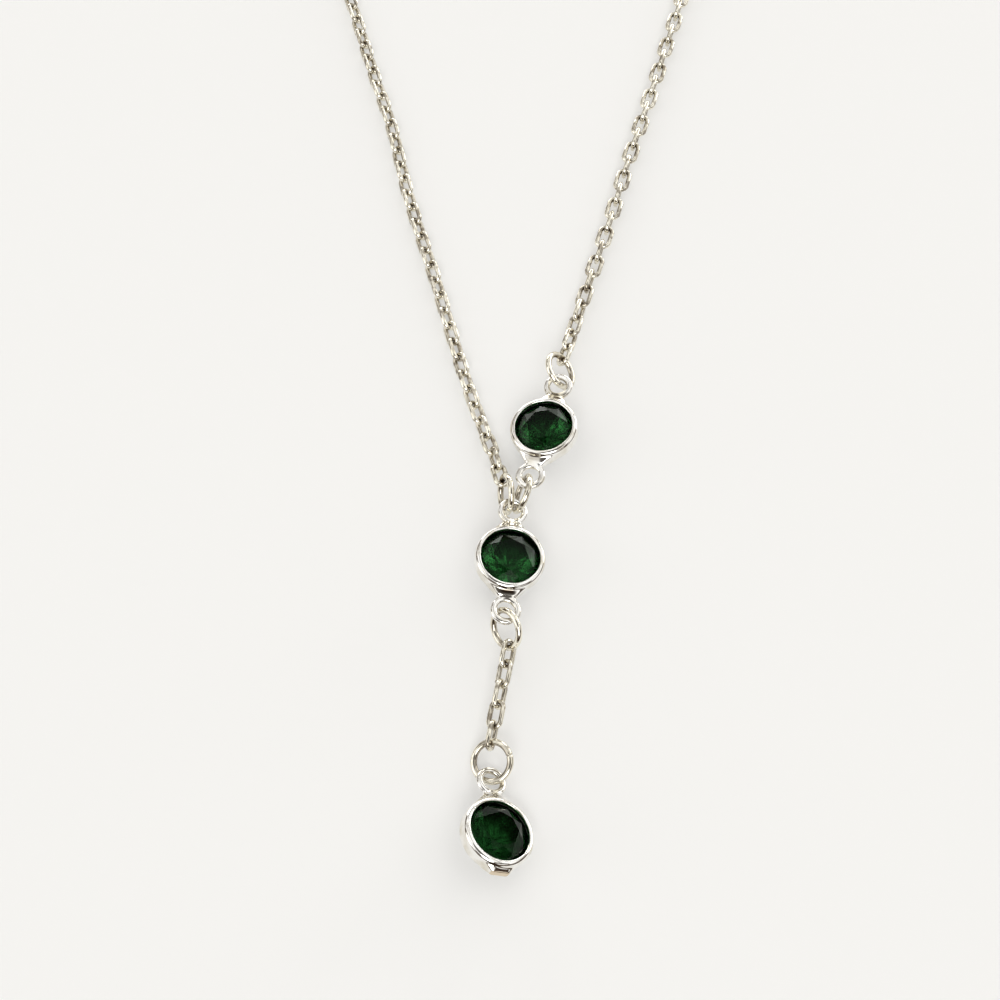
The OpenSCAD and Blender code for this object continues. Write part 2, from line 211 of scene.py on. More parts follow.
class LinkSizes(bpy.types.PropertyGroup):
    length: FloatProperty(name="Length", description="Length of a link outside", unit="LENGTH",
                          default=LINK_SIZE[0], min=0.5 * MM)
    width: FloatProperty(name="Width", description="Width of a link outside", unit="LENGTH",
                         default=LINK_SIZE[1], min=0.3 * MM)
    wire: FloatProperty(name="Wire", description="Thickness of a link's wire", unit="LENGTH",
                        default=LINK_SIZE[2], min=0.1 * MM)
    swell: FloatProperty(name="Swell", description="Thickness of the wire over the solids', set by eye",
                         subtype="FACTOR", default=1.15, min=1.0, max=1.2)
    bend_steps: IntProperty(name="Bend steps", description="Steps round a link, 2 over a multiple of 4",
                            default=14, min=6, max=42)
    wire_sides: IntProperty(name="Wire sides", description="Sides of a link's wire",
                            default=7, min=5, max=16)
    spots: FloatProperty(name="Spots", description="Darkness of the spots on the plating",
                         subtype="FACTOR", default=0.65, min=0.0, max=1.0)
    # Darkness of the painted shade on the inside of a link's wire, most at its bends
    inner_shade: FloatProperty(name="Wear", description="Darkness of the wire where it rubs",
                        subtype="FACTOR", default=0.9, min=0.0, max=1.0)


class RingSizes(bpy.types.PropertyGroup):
    width: FloatProperty(name="Width", description="Width of a jump ring outside", unit="LENGTH",
                         default=RING_SIZE[0], min=1 * MM)
    wire: FloatProperty(name="Wire", description="Thickness of a jump ring's wire", unit="LENGTH",
                        default=RING_SIZE[2], min=0.2 * MM)
    swell: FloatProperty(name="Swell", description="Thickness of the wire over the solids', set by eye",
                         subtype="FACTOR", default=1.07, min=1.0, max=1.2)
    cut: FloatProperty(name="Cut", description="Gap where the ring's two ends meet", unit="LENGTH",
                       default=0.05 * MM, min=0.01 * MM)
    end_round: FloatProperty(name="End rounding", description="Rounding of the wire's two ends",
                             unit="LENGTH", default=0.05 * MM, min=0.0)
    spots: FloatProperty(name="Spots", description="Darkness of the spots on the plating",
                         subtype="FACTOR", default=0.4, min=0.0, max=1.0)
    # Darkness of the painted shade on the inside of a ring's wire
    inner_shade: FloatProperty(name="Wear", description="Darkness of the wire where it rubs",
                        subtype="FACTOR", default=0.7, min=0.0, max=1.0)


class SettingSizes(bpy.types.PropertyGroup):
    band_width: FloatProperty(name="Band width", description="Outer diameter of the band", unit="LENGTH",
                              default=extent(BAND)[1])
    band_height: FloatProperty(name="Band height", description="Height of the band", unit="LENGTH",
                               default=extent(BAND)[2])
    base_round: FloatProperty(name="Base rounding", description="Rounding of the band's lower edge",
                              unit="LENGTH", default=0.8 * MM)
    lip_round: FloatProperty(name="Lip rounding", description="Rounding of the lip outside",
                             unit="LENGTH", default=0.4 * MM)
    lip_edge: FloatProperty(name="Lip edge", description="Rounding of the lip inside", unit="LENGTH",
                            default=0.1 * MM)
    lip_cover: FloatProperty(name="Lip cover", description="How far the lip reaches over the stone",
                             unit="LENGTH", default=0.12 * MM)
    stone_gap: FloatProperty(name="Stone gap", description="Clearance round the stone", unit="LENGTH",
                             default=0.07 * MM)
    eye_reach: FloatProperty(name="Eye reach", description="From the stone's middle to that of an eye",
                             unit="LENGTH", default=5.0 * MM)
    eye_width: FloatProperty(name="Eye width", description="Outer diameter of an eye", unit="LENGTH",
                             default=2.86 * MM)
    eye_wire: FloatProperty(name="Eye wire", description="Thickness of an eye's wire", unit="LENGTH",
                            default=0.68 * MM)
    eye_flat: FloatProperty(name="Eye flatness", description="Thickness of an eye over its wire",
                            subtype="FACTOR", default=0.88, min=0.3, max=1.0)
    neck_width: FloatProperty(name="Neck width", description="Width of the neck at the eye",
                              unit="LENGTH", default=1.5 * MM)
    neck_root: FloatProperty(name="Neck root", description="Height of the neck at the band",
                             unit="LENGTH", default=1.3 * MM)
    neck_end: FloatProperty(name="Neck end", description="Height of the neck at the eye", unit="LENGTH",
                            default=0.6 * MM)
    stub_share: FloatProperty(name="Stub share", description="Spread of the stub's root over a neck's",
                              subtype="FACTOR", default=0.95, min=0.3, max=1.0)
    stub_cut: FloatProperty(name="Stub cut", description="How much shorter the stub is than a neck",
                            unit="LENGTH", default=0.35 * MM)
    neck_round: FloatProperty(name="Neck rounding", description="Rounding of a neck's edges",
                              unit="LENGTH", default=0.29 * MM)
    # Half the width of the strip of painted shade in the crease at a neck
    crease: FloatProperty(name="Crease", description="Half the width of the grimy crease at a neck",
                          unit="LENGTH", default=0.26 * MM)
    grain: FloatProperty(name="Grain", description="Size of the smallest form that the casting keeps",
                         unit="LENGTH", default=0.05 * MM)
    melt: IntProperty(name="Melt", description="How far the casting's corners run together", default=5)
    neck_melt: IntProperty(name="Neck melt", description="How much further they do so at the necks",
                           default=60)
    melt_from: FloatProperty(name="Melt from", description="Where that starts, over the band's radius",
                             subtype="FACTOR", default=0.92, min=0.5, max=0.99)
    shade_top: FloatProperty(name="Shade top", description="Top of the shaded seat over the girdle's",
                             unit="LENGTH", default=0.32 * MM)


class StoneSizes(bpy.types.PropertyGroup):
    width: FloatProperty(name="Width", description="Diameter of the stone at its girdle", unit="LENGTH",
                         default=2 * CUT_RADII.max())
    table: FloatProperty(name="Table", description="Diameter of the table, corner to corner",
                         unit="LENGTH", default=2 * np.hypot(TABLE[:, 0], TABLE[:, 1]).max())
    top: FloatProperty(name="Top", description="Height of the table in the stone's pose", unit="LENGTH",
                       default=CUT[:, 2].max())
    point: FloatProperty(name="Point", description="Depth of the point in the stone's pose",
                         unit="LENGTH", default=-CUT[:, 2].min())
    girdle_top: FloatProperty(name="Girdle top", description="Height of the girdle's upper edge",
                              unit="LENGTH", default=GIRDLE[:, 2].max())
    girdle_base: FloatProperty(name="Girdle base", description="Height of the girdle's lower edge",
                               unit="LENGTH", default=GIRDLE[:, 2].min())
    star_share: FloatProperty(name="Star share", description="Reach of the stars, from table to girdle",
                              subtype="FACTOR", default=0.55, min=0.2, max=0.8)
    lower_share: FloatProperty(name="Lower share", description="End of the lower halves, point to girdle",
                               subtype="FACTOR", default=0.24, min=0.1, max=0.6)
    sides: IntProperty(name="Sides", description="Kites round the crown", default=8, min=6, max=12)


class ClaspSizes(bpy.types.PropertyGroup):
    width: FloatProperty(name="Width", description="Outer diameter of the clasp", unit="LENGTH",
                         default=CLASP_SIZE[1])
    wire: FloatProperty(name="Wire", description="Thickness of the clasp", unit="LENGTH",
                        default=CLASP_SIZE[2])
    length: FloatProperty(name="Length", description="Length of the clasp with its eye", unit="LENGTH",
                          default=CLASP_SIZE[0])
    eye_wire: FloatProperty(name="Eye wire", description="Thickness of the eye's wire", unit="LENGTH",
                            default=0.45 * MM)
    eye_sink: FloatProperty(name="Eye sink", description="How deep the eye is soldered in", unit="LENGTH",
                            default=0.11 * MM)


class Finishes(bpy.types.PropertyGroup):
    silver: FloatVectorProperty(name="Silver", description="Colour of the settings' bright plating",
                                subtype="COLOR", default=(0.93, 0.92, 0.89), min=0.0, max=1.0)
    chain: FloatVectorProperty(name="Chain", description="Colour of the plating of the chain and rings",
                               subtype="COLOR", default=(0.92, 0.88, 0.76), min=0.0, max=1.0)
    tarnish: FloatVectorProperty(name="Tarnish", description="Colour of the plating where it has dulled",
                                 subtype="COLOR", default=(0.66, 0.61, 0.49), min=0.0, max=1.0)
    # Colour of the random dark spots on the plating, and of the painted shade inside links and rings and
    # in the necks' creases
    grime_and_shade: FloatVectorProperty(name="Grime", description="Colour of the worn places where links rub",
                               subtype="COLOR", default=(0.16, 0.12, 0.08), min=0.0, max=1.0)
    copper: FloatVectorProperty(name="Bare metal", description="Colour of the metal where it was snipped",
                                subtype="COLOR", default=(0.74, 0.62, 0.47), min=0.0, max=1.0)
    roughness: FloatProperty(name="Roughness", description="Roughness of the plating", subtype="FACTOR",
                             default=0.07, min=0.0, max=1.0)
    ripple: FloatProperty(name="Ripple", description="Depth of the ripples in the plating", unit="LENGTH",
                          default=0.004 * MM)
    chain_ripple: FloatProperty(name="Chain ripple", description="Depth of those in a link", unit="LENGTH",
                                default=0.003 * MM)
    glass: FloatVectorProperty(name="Stone", description="Colour of the stone's glass", subtype="COLOR",
                               default=(0.026, 0.20, 0.05), min=0.0, max=1.0)
    foil: FloatVectorProperty(name="Foil", description="Colour of the foil on the stone's back",
                              subtype="COLOR", default=(0.68, 0.66, 0.60), min=0.0, max=1.0)
    rim: FloatVectorProperty(name="Rim", description="Colour of the stone's shaded rim", subtype="COLOR",
                             default=(0.02, 0.03, 0.02), min=0.0, max=1.0)
    glare: FloatVectorProperty(name="Glare", description="How strongly the stone mirrors what is above",
                               subtype="COLOR", default=(0.12, 0.15, 0.12), min=0.0, max=1.0)
    floor: FloatVectorProperty(name="Floor", description="Colour of the surface below", subtype="COLOR",
                               default=(0.92, 0.915, 0.90), min=0.0, max=1.0)
    # Painted light: the floor gives off this share of its colour as its own light, which lightens the
    # shadows
    floor_glow: FloatProperty(name="Floor glow", description="Share of light that the floor lets through",
                              subtype="FACTOR", default=0.35, min=0.0, max=1.0)


class StudioSizes(bpy.types.PropertyGroup):
    distance: FloatProperty(name="Distance", description="Camera to the point it looks at", unit="LENGTH",
                            default=131.5 * MM)
    elevation: FloatProperty(name="Elevation", description="Camera's height above the surface",
                             subtype="ANGLE", default=math.radians(66.5))
    lens: FloatProperty(name="Lens", description="Focal length in millimetres", default=50.4)
    aim: FloatVectorProperty(name="Aim", description="Point looked at, from the middle setting, in plan",
                             size=2, unit="LENGTH", default=(-0.87 * MM, 7.06 * MM))
    floor_width: FloatProperty(name="Floor", description="Width of the pale floor", unit="LENGTH",
                               default=3.0)
    light: FloatProperty(name="Light", description="Strength of the soft light", default=0.96, min=0.0)


# Selecting and shaping, as by hand

def leave_edit():
    """Goes back to object mode."""
    if bpy.context.mode != "OBJECT":
        bpy.ops.object.mode_set(mode="OBJECT")


def deselect_all():
    """Deselects every object, in object mode."""
    leave_edit()
    bpy.ops.object.select_all(action="DESELECT")


def select_only(*pieces):
    """Selects pieces and nothing else, with the first of them active."""
    deselect_all()
    for piece in pieces:
        piece.select_set(True)
    bpy.context.view_layer.objects.active = pieces[0]


def edit_all(piece, kind="VERT"):
    """Opens a piece in edit mode with all of it selected."""
    select_only(piece)
    bpy.ops.object.mode_set(mode="EDIT")
    bpy.ops.mesh.select_mode(type=kind)
    bpy.ops.mesh.select_all(action="SELECT")


def pick_corners(piece, test):
    """Opens a piece in edit mode with the corners selected that pass a test of their place."""
    edit_all(piece)
    mesh = bmesh.from_edit_mesh(piece.data)
    for corner in mesh.verts:
        corner.select = bool(test(corner.co))
    mesh.select_flush(False)
    mesh.select_mode = {"VERT"}
    mesh.select_flush_mode()
    bmesh.update_edit_mesh(piece.data)


def face_outwards(piece):
    """Merges a piece's doubles and turns its faces outwards."""
    edit_all(piece)
    bpy.ops.mesh.remove_doubles(threshold=0.001 * MM)
    bpy.ops.mesh.normals_make_consistent(inside=False)
    leave_edit()


def copy_at(piece, pose, name):
    """A copy of a piece with its own mesh, put in a pose, with its object at the origin."""
    copy = piece.copy()
    copy.data = piece.data.copy()
    copy.name = copy.data.name = name
    bpy.context.scene.collection.objects.link(copy)
    copy.data.transform(pose)
    return copy


def remove(piece):
    """Removes a piece that was only copied from."""
    deselect_all()
    mesh = piece.data
    bpy.data.objects.remove(piece)
    bpy.data.meshes.remove(mesh)


def join(name, pieces):
    """Joins pieces into one with that name."""
    select_only(*pieces)
    bpy.ops.object.join()
    joined = bpy.context.object
    joined.name = joined.data.name = name
    return joined


def apply_modifiers(piece):
    """Applies all of a piece's modifiers, in order."""
    select_only(piece)
    for modifier in list(piece.modifiers):
        bpy.ops.object.modifier_apply(modifier=modifier.name)


def round_edges(piece, width, segments, sharper_than=60):
    """Rounds the edges of a piece that turn by more than an angle in degrees."""
    rims = piece.modifiers.new("rims", "BEVEL")
    rims.width = width
    rims.segments = segments
    rims.limit_method = "ANGLE"
    rims.angle_limit = math.radians(sharper_than)
    apply_modifiers(piece)


def draw_outline(name, points):
    """A flat face drawn by extruding one corner from point to point."""
    deselect_all()
    bpy.ops.mesh.primitive_plane_add()
    piece = bpy.context.object
    piece.name = name
    bpy.ops.object.mode_set(mode="EDIT")
    bpy.ops.mesh.select_all(action="SELECT")
    bpy.ops.mesh.merge(type="CENTER")
    bpy.ops.transform.translate(value=points[0])
    for start, end in zip(points, points[1:]):
        step = Vector(end) - Vector(start)
        bpy.ops.mesh.extrude_region_move(TRANSFORM_OT_translate={"value": step})
    bpy.ops.mesh.select_all(action="SELECT")
    bpy.ops.mesh.edge_face_add()
    leave_edit()
    return piece


def round_corner(piece, place, radius, steps=6):
    """Rounds the corner of an outline that is nearest to a place."""
    nearest = min(piece.data.vertices, key=lambda v: (v.co - Vector(place)).length).co.copy()
    pick_corners(piece, lambda co: (co - nearest).length < WELD)
    bpy.ops.mesh.bevel(offset=radius, segments=steps, affect="VERTICES", clamp_overlap=True)
    leave_edit()


def torus(name, width, wire, steps, sides):
    """A plain ring of round wire round the Z axis."""
    deselect_all()
    bpy.ops.mesh.primitive_torus_add(
        major_radius=(width - wire) / 2, minor_radius=wire / 2,
        major_segments=steps, minor_segments=sides)
    ring = bpy.context.object
    ring.name = name
    return ring


def finish_piece(piece, slot, *nodes):
    """Rides a finished piece on the necklace in place of its CAD nodes; the slot is not used."""
    deselect_all()
    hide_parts(*nodes)
    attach(piece, "root")
    return piece


# Node materials

class Shader:
    """Builds a material's nodes, one row after another."""

    def __init__(self, name):
        self.material = bpy.data.materials.new(name)
        self.material.use_nodes = True
        self.nodes = self.material.node_tree.nodes
        self.links = self.material.node_tree.links
        self.nodes.clear()
        self.output = self.nodes.new("ShaderNodeOutputMaterial")
        self.surface = self.nodes.new("ShaderNodeBsdfPrincipled")
        self.links.new(self.surface.outputs[0], self.output.inputs["Surface"])
        self.place = self.nodes.new("ShaderNodeTexCoord").outputs["Object"]

    def set(self, **values):
        """Sets constants on the surface's sockets, named with underscores for spaces."""
        for name, value in values.items():
            self.surface.inputs[name.replace("_", " ")].default_value = value

    def noise(self, size, detail=2.0):
        """A noise whose lumps are about this size, in metres."""
        node = self.nodes.new("ShaderNodeTexNoise")
        self.links.new(self.place, node.inputs["Vector"])
        node.inputs["Scale"].default_value = 1 / size
        node.inputs["Detail"].default_value = detail
        return node.outputs["Fac"]

    def mark(self, name):
        """The share that a piece's corners keep under a name."""
        node = self.nodes.new("ShaderNodeAttribute")
        node.attribute_name = name
        return node.outputs["Fac"]

    def spread(self, value, low, high, to_low=0.0, to_high=1.0):
        """Stretches a value from one range to another."""
        node = self.nodes.new("ShaderNodeMapRange")
        self.links.new(value, node.inputs["Value"])
        numbers = {"From Min": low, "From Max": high, "To Min": to_low, "To Max": to_high}
        for socket, number in numbers.items():
            node.inputs[socket].default_value = number
        return node.outputs["Result"]

    def lumps(self, pattern, to_low=0.0, to_high=1.0, detail=2.0):
        """A lumpy pattern, given by the size of its lumps and the values between which they blend."""
        size, low, high = pattern
        return self.spread(self.noise(size, detail), low, high, to_low, to_high)

    def mix(self, share, first, second):
        """Mixes two colours, each a colour or another node's output."""
        node = self.nodes.new("ShaderNodeMix")
        node.data_type = "RGBA"
        self.links.new(share, node.inputs["Factor"])
        for socket, colour in ((node.inputs[6], first), (node.inputs[7], second)):
            if isinstance(colour, bpy.types.NodeSocket):
                self.links.new(colour, socket)
            else:
                socket.default_value = (*colour, 1.0)
        return node.outputs[2]

    def bump(self, height, depth):
        """Raises the surface by a share of a depth, in metres."""
        node = self.nodes.new("ShaderNodeBump")
        self.links.new(height, node.inputs["Height"])
        node.inputs["Distance"].default_value = depth
        self.links.new(node.outputs["Normal"], self.surface.inputs["Normal"])

    def drive(self, **sources):
        """Links outputs to the surface's sockets."""
        for name, source in sources.items():
            self.links.new(source, self.surface.inputs[name.replace("_", " ")])


def plating(name, colour, ripple, spots=0.0, **marked):
    """Bright plating with dull clouds, dark spots and ripples, in other colours where it is marked."""
    look = bpy.context.scene.necklace_finishes
    shader = Shader(name)
    shader.set(Metallic=1.0)
    surface = shader.mix(shader.lumps(CLOUDS, detail=4.0), colour, look.tarnish)
    if spots:
        surface = shader.mix(shader.lumps(SPOTS, to_high=spots, detail=1.0), surface, look.grime_and_shade)
    for mark_name, mark_colour in marked.items():
        surface = shader.mix(shader.mark(mark_name), surface, mark_colour)
    shader.drive(Base_Color=surface)
    shader.drive(Roughness=shader.lumps(SHEEN, 0.6 * look.roughness, 1.6 * look.roughness))
    shader.bump(shader.noise(RIPPLE_SIZE), ripple)
    return shader.material


def stone_glass():
    """Deep green glass of the crown and girdle."""
    look = bpy.context.scene.necklace_finishes
    shader = Shader("green_glass")
    shader.set(Transmission_Weight=1.0, IOR=1.5, Roughness=0.0, Specular_Tint=(*look.glare, 1.0))
    darker = [0.75 * channel for channel in look.glass]
    shader.drive(Base_Color=shader.mix(shader.lumps(GLASS_TINT), look.glass, darker))
    return shader.material


def stone_foil():
    """The foil that backs the stone's pointed side."""
    look = bpy.context.scene.necklace_finishes
    shader = Shader("stone_foil")
    shader.set(Metallic=1.0)
    darker = [0.8 * channel for channel in look.foil]
    backing = shader.mix(shader.lumps(FOIL_PATCHES), look.foil, darker)
    # Painted shade: the foil darkens towards the girdle, as if shaded by the setting's wall
    rim = shader.spread(shader.mark("rim"), 0.4, 0.84)
    shader.drive(Base_Color=shader.mix(rim, backing, look.rim))
    shader.drive(Roughness=shader.lumps(FOIL_SHEEN, to_low=0.18, to_high=0.27))
    return shader.material


def floor_finish():
    """A plain pale surface that glows with a share of its own colour, painted light that keeps the shadows
    light.
    """
    look = bpy.context.scene.necklace_finishes
    shader = Shader("pale_floor")
    lit = [(1 - look.floor_glow) * channel for channel in look.floor]
    shader.set(Roughness=0.9, Specular_IOR_Level=0.1, Base_Color=(*lit, 1.0))
    shader.set(Emission_Color=(*look.floor, 1.0), Emission_Strength=look.floor_glow)
    return shader.material


# Making the pieces

def model_stone(name, sizes):
    """A round brilliant, ground from a cylinder one facet after another."""
    girdle, table = sizes.width / 2, sizes.table / 2
    star = table + (girdle - table) * sizes.star_share
    lower = girdle * sizes.lower_share
    half = math.pi / sizes.sides
    crown_slope = (sizes.top - sizes.girdle_top) / (girdle - table)
    star_top = sizes.top - crown_slope * (star * math.cos(half) - table)
    point_slope = (sizes.point + sizes.girdle_base) / girdle
    lower_base = point_slope * lower * math.cos(half) - sizes.point

    def spot(radius, angle, height):
        return Vector((radius * math.cos(angle), radius * math.sin(angle), height))

    deselect_all()
    bpy.ops.mesh.primitive_cylinder_add(
        vertices=8 * sizes.sides, radius=girdle, depth=sizes.top + sizes.point,
        location=(0, 0, (sizes.top - sizes.point) / 2))
    stone = bpy.context.object
    stone.name = name
    bpy.ops.object.transform_apply(location=True)

    def grind(first, second, third):
        """Cuts away what lies outside the plane through three points."""
        normal = (second - first).cross(third - first).normalized()
        outwards = facing(normal, first + second + third - Vector((0, 0, sizes.girdle_top)))
        edit_all(stone)
        bpy.ops.mesh.bisect(
            plane_co=first, plane_no=outwards, use_fill=True, clear_outer=True,
            threshold=0.0001 * MM)
        leave_edit()

    for step in range(sizes.sides):
        angle = 2 * half * step
        across = spot(1.0, angle + math.pi / 2, 0.0)
        kite = spot(table, angle, sizes.top)
        grind(kite, spot(girdle, angle, sizes.girdle_top), kite + across)
        deep = spot(girdle, angle, sizes.girdle_base)
        grind(Vector((0, 0, -sizes.point)), deep, deep + across)
    for step in range(sizes.sides):
        angle = 2 * half * step
        top_star = spot(star, angle + half, star_top)
        grind(spot(table, angle, sizes.top), spot(table, angle + 2 * half, sizes.top), top_star)
        for start in (angle, angle + half):
            rim = [spot(girdle, start + turn, sizes.girdle_top) for turn in (0.0, half)]
            grind(top_star, *rim)
            rim = [spot(girdle, start + turn, sizes.girdle_base) for turn in (0.0, half)]
            grind(spot(lower, angle + half, lower_base), *rim)
    radii = np.array([math.hypot(corner.co.x, corner.co.y) for corner in stone.data.vertices])
    # The share of painted shade on the foil: most at the girdle, none at the point
    mark(stone, "rim", radii / girdle)
    return stone


def model_neck(sizes, end, wall, angle, waist):
    """The neck at one end of a setting, from the curve of the band's wall to its waist at the eye."""
    low = -sizes.neck_root / 2
    turns = [angle * step / NECK_STEPS for step in range(NECK_STEPS, -NECK_STEPS - 1, -1)]
    curve = [(end * wall * math.cos(turn), wall * math.sin(turn), low) for turn in turns]
    sides = [(end * waist, side * sizes.neck_width / 2, low) for side in (-1, 1)]
    neck = draw_outline("neck", curve + sides)
    edit_all(neck, "FACE")
    bpy.ops.mesh.extrude_region_move(TRANSFORM_OT_translate={"value": (0, 0, sizes.neck_root)})
    bpy.ops.mesh.select_all(action="SELECT")
    bpy.ops.mesh.quads_convert_to_tris()
    pick_corners(neck, lambda co: end * co.x > (wall + waist) / 2)
    bpy.ops.transform.resize(value=(1, 1, sizes.neck_end / sizes.neck_root), center_override=(0, 0, 0))
    edit_all(neck)
    bpy.ops.mesh.normals_make_consistent(inside=False)
    leave_edit()
    round_edges(neck, sizes.neck_round, segments=4)
    return neck


def model_setting(name, sizes, stone, eyes):
    """A cast setting round the Z axis: a band with a lip, two necks, and eyes on some of its ends."""
    band, half = sizes.band_width / 2, sizes.band_height / 2
    seat = stone.width / 2 + sizes.stone_gap
    lip = stone.width / 2 - sizes.lip_cover
    lift = BAND[:, 2].max() - half
    ledge = stone.girdle_base - sizes.stone_gap - lift
    seat_top = stone.girdle_top + sizes.stone_gap - lift
    slope = (stone.point + stone.girdle_base) / (stone.width / 2)
    low = seat - (ledge + half) / slope
    lip_under = seat_top + seat - lip
    wall = draw_outline(name, [
        (low, 0, -half), (band, 0, -half), (band, 0, half), (lip, 0, half),
        (lip, 0, lip_under), (seat, 0, seat_top), (seat, 0, ledge)])
    round_corner(wall, (band, 0, -half), sizes.base_round)
    round_corner(wall, (band, 0, half), sizes.lip_round)
    round_corner(wall, (lip, 0, half), sizes.lip_edge, steps=3)
    edit_all(wall)
    bpy.ops.mesh.delete(type="ONLY_FACE")
    bpy.ops.mesh.select_all(action="SELECT")
    bpy.ops.mesh.spin(steps=96, angle=2 * math.pi, center=(0, 0, 0), axis=(0, 0, 1))
    face_outwards(wall)

    eye_middle = sizes.eye_reach
    waist = eye_middle - (sizes.eye_width - sizes.eye_wire) / 2
    root = (band + seat) / 2
    reach = math.hypot(waist, sizes.neck_width / 2)
    angle = math.atan2(sizes.neck_width / 2, waist) + math.acos((band + root) / 2 / reach)
    parts = [wall]
    for end in (1, -1):
        if end not in eyes:
            parts.append(model_neck(sizes, end, root, sizes.stub_share * angle, waist - sizes.stub_cut))
        else:
            parts.append(model_neck(sizes, end, root, angle, waist))
            eye = torus("eye", sizes.eye_width, sizes.eye_wire, steps=64, sides=24)
            edit_all(eye)
            bpy.ops.transform.resize(value=(1, 1, sizes.eye_flat))
            bpy.ops.transform.translate(value=(end * eye_middle, 0, 0))
            leave_edit()
            parts.append(eye)
    setting = join(name, parts)
    cast = setting.modifiers.new("cast", "REMESH")
    cast.mode = "VOXEL"
    cast.voxel_size = sizes.grain
    apply_modifiers(setting)
    ends = setting.vertex_groups.new(name="ends")
    for corner in setting.data.vertices:
        share = (abs(corner.co.x) - sizes.melt_from * band) / ((1 - sizes.melt_from) * band)
        if share > 0:
            ends.add([corner.index], min(share, 1.0), "REPLACE")
    for group, turns in (("", sizes.melt), (ends.name, sizes.neck_melt)):
        melt = setting.modifiers.new("melt", "SMOOTH")
        melt.iterations = turns
        melt.vertex_group = group
    apply_modifiers(setting)
    bpy.ops.object.shade_smooth()
    setting.data.transform(Matrix.Translation((0, 0, lift)))
    return setting


def mark(piece, name, shares):
    """Keeps a share for each corner of a piece, which its finish reads."""
    piece.data.attributes.new(name, "FLOAT", "POINT").data.foreach_set("value", shares)


def mark_worn(piece, straight, sizes):
    """Marks painted shade on the inside of a ring or link, most of all at its bends, where the links
    cross.
    """
    places = np.array([corner.co for corner in piece.data.vertices])
    along = np.maximum(0.0, np.abs(places[:, 0]) - straight / 2)
    depth = sizes.width / 2 - 0.5 * sizes.wire - np.hypot(along, places[:, 1])
    bends = along / np.maximum(np.hypot(along, places[:, 1]), WELD)
    mark(piece, "worn", sizes.inner_shade * np.clip(3 * depth / sizes.wire, 0, 1) * (0.5 + 0.5 * bends))


def mark_seat(setting, sizes, stone):
    """Marks the shaded seat round a stone, below the lip's inner edge."""
    places = np.array([corner.co for corner in setting.data.vertices])
    inward = stone.width / 2 + 2 * sizes.stone_gap - np.hypot(places[:, 0], places[:, 1])
    under = stone.girdle_top + sizes.shade_top - places[:, 2]
    mark(setting, "shaded", np.clip(np.minimum(inward, under) / MARK_EDGE, 0, 1))


def mark_crease_shade(setting, sizes, shares):
    """Marks painted shade in the crease between the band and each eye, on the neck's upper side, by its
    share.
    """
    places = np.array([corner.co for corner in setting.data.vertices])
    middle = (sizes.band_width / 2 + sizes.eye_reach - sizes.eye_width / 2) / 2
    along = 1 - np.abs(np.abs(places[:, 0]) - middle) / sizes.crease
    aside = 1 - np.abs(places[:, 1]) / (0.6 * sizes.neck_width)
    above = places[:, 2] > BAND[:, 2].max() - sizes.band_height / 2
    grime_and_shade = np.where(places[:, 0] > 0, *shares)
    mark(setting, "creased", grime_and_shade * np.clip(1.5 * along, 0, 1) * np.clip(2 * aside, 0, 1) * above)


def mark_snipped(setting):
    """Marks the end of the stub, where the plating was cut through."""
    end = max(-corner.co.x for corner in setting.data.vertices)
    short = np.array([end + corner.co.x for corner in setting.data.vertices])
    mark(setting, "snipped", np.clip(2 - short / MARK_EDGE, 0, 1))


def model_jump_ring(name, sizes):
    """A ring of round wire round the Z axis, cut through on the side of +X."""
    middle = (sizes.width - sizes.wire) / 2
    gap = sizes.cut / middle
    deselect_all()
    bpy.ops.mesh.primitive_circle_add(
        vertices=16, radius=sizes.swell * sizes.wire / 2, fill_type="NGON",
        location=(middle, 0, 0), rotation=(math.pi / 2, 0, 0))
    ring = bpy.context.object
    ring.name = name
    bpy.ops.object.transform_apply(location=True, rotation=True)
    ring.data.transform(Matrix.Rotation(gap / 2, 4, "Z"))
    edit_all(ring, "FACE")
    bpy.ops.mesh.spin(steps=64, angle=2 * math.pi - gap, center=(0, 0, 0), axis=(0, 0, 1))
    face_outwards(ring)
    mark_worn(ring, 0.0, sizes)
    return ring


def model_link(name, sizes):
    """One oval link, long in X: a round one whose halves are drawn apart."""
    straight = sizes.length - sizes.width
    swollen = (sizes.swell - 1) * sizes.wire
    link = torus(name, sizes.width + swollen, sizes.wire + swollen, sizes.bend_steps, sizes.wire_sides)
    for side in (1, -1):
        pick_corners(link, lambda co: side * co.x > 0)
        bpy.ops.transform.translate(value=(side * straight / 2, 0, 0))
    leave_edit()
    bpy.ops.object.shade_smooth()
    mark_worn(link, straight, sizes)
    return link


def model_clasp(name, sizes):
    """A closed ring with a small eye soldered on the side of -X."""
    body = torus(name, sizes.width, sizes.wire, steps=96, sides=32)
    eye_width = sizes.length - sizes.width + sizes.eye_sink
    eye = torus("clasp_eye", eye_width, sizes.eye_wire, steps=48, sides=16)
    edit_all(eye)
    bpy.ops.transform.translate(value=(-(sizes.width + eye_width) / 2 + sizes.eye_sink, 0, 0))
    clasp = join(name, [body, eye])
    bpy.ops.object.shade_smooth()
    return clasp


class NECKLACE_OT_stones(bpy.types.Operator):
    """Cuts one stone and sets a copy in each setting"""
    bl_idname = "necklace.stones"
    bl_label = "Cut stones"
    bl_options = {"REGISTER", "UNDO"}

    def execute(self, context):
        pattern = model_stone("cut_pattern", context.scene.necklace_stone)
        pattern.data.materials.append(stone_glass())
        pattern.data.materials.append(stone_foil())
        for face in pattern.data.polygons:
            face.material_index = int(face.center.z < context.scene.necklace_stone.girdle_top - LEVEL)
        for which in SETTINGS:
            stone = copy_at(pattern, STONE_POSES[which], f"cut_stone_{which}")
            finish_piece(stone, STONE, f"stone_{which}")
        remove(pattern)
        return {"FINISHED"}


